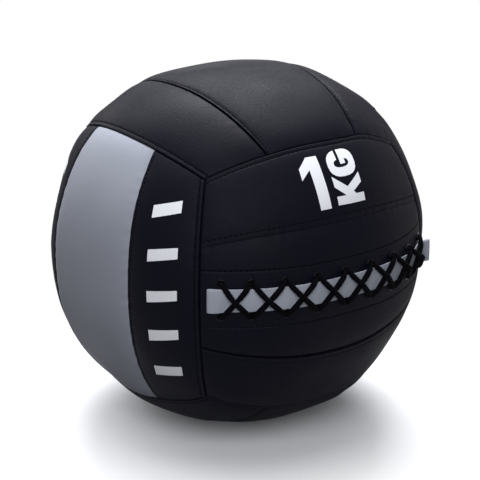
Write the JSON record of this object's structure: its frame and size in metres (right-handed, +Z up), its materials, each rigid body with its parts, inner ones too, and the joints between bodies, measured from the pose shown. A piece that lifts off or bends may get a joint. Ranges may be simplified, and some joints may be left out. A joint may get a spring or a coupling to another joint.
{
  "type": "wall ball",
  "caption": "Large soft round exercise ball with a sewn leather-like cover, two grey side panels and a laced closure over a webbing band, resting on a small flat.",
  "frame": {"origin": "middle of the flat patch that the ball rests on, straight below the middle of the ball", "axes": "+Z up through the middle of the ball; the laced face looks towards -Y; +X to the right of someone who faces the lacing"},
  "size_m": [0.35, 0.3624, 0.3495],
  "materials": {
    "cover_black": "satin coated leather with a fine grain",
    "cover_grey": "satin coated leather with a fine grain",
    "facing_leather": "matt",
    "band_webbing": "tight flat weave",
    "lace_cord": "round braided cord",
    "eyelet_metal": "black nickel plate",
    "padding_foam": "soft open foam",
    "bag_cloth": "plain cloth",
    "filling_fibre": "loose fibre, packed",
    "thread_black": "bonded sewing thread",
    "print_white": "screen-printed ink"
  },
  "bodies": {
    "root": {"back_panel_centre": "cover_black", "back_panel_lower": "cover_black", "back_panel_upper": "cover_black", "bottom_panel_centre": "cover_black", "bottom_panel_left": "cover_black", "bottom_panel_right": "cover_black", "eyelet_facing_lower": "facing_leather", "eyelet_facing_upper": "facing_leather", "eyelet_lower_1": "eyelet_metal", "eyelet_lower_2": "eyelet_metal", "eyelet_lower_3": "eyelet_metal", "eyelet_lower_4": "eyelet_metal", "eyelet_lower_5": "eyelet_metal", "eyelet_lower_6": "eyelet_metal", "eyelet_lower_7": "eyelet_metal", "eyelet_lower_8": "eyelet_metal", "eyelet_lower_9": "eyelet_metal", "eyelet_upper_1": "eyelet_metal", "eyelet_upper_2": "eyelet_metal", "eyelet_upper_3": "eyelet_metal", "eyelet_upper_4": "eyelet_metal", "eyelet_upper_5": "eyelet_metal", "eyelet_upper_6": "eyelet_metal", "eyelet_upper_7": "eyelet_metal", "eyelet_upper_8": "eyelet_metal", "eyelet_upper_9": "eyelet_metal", "fibre_filling": "filling_fibre", "filling_bag": "bag_cloth", "front_flap_lower": "cover_black", "front_flap_upper": "cover_black", "front_panel_lower": "cover_black", "front_panel_upper": "cover_black", "lace": "lace_cord", "lacing_band": "band_webbing", "lacing_tongue": "facing_leather", "left_panel_centre": "cover_grey", "left_panel_front": "cover_black", "left_panel_rear": "cover_black", "padding_layer": "padding_foam", "right_panel_centre": "cover_grey", "right_panel_front": "cover_black", "right_panel_rear": "cover_black", "top_panel_centre": "cover_black", "top_panel_left": "cover_black", "top_panel_right": "cover_black"}
  },
  "joints": []
}
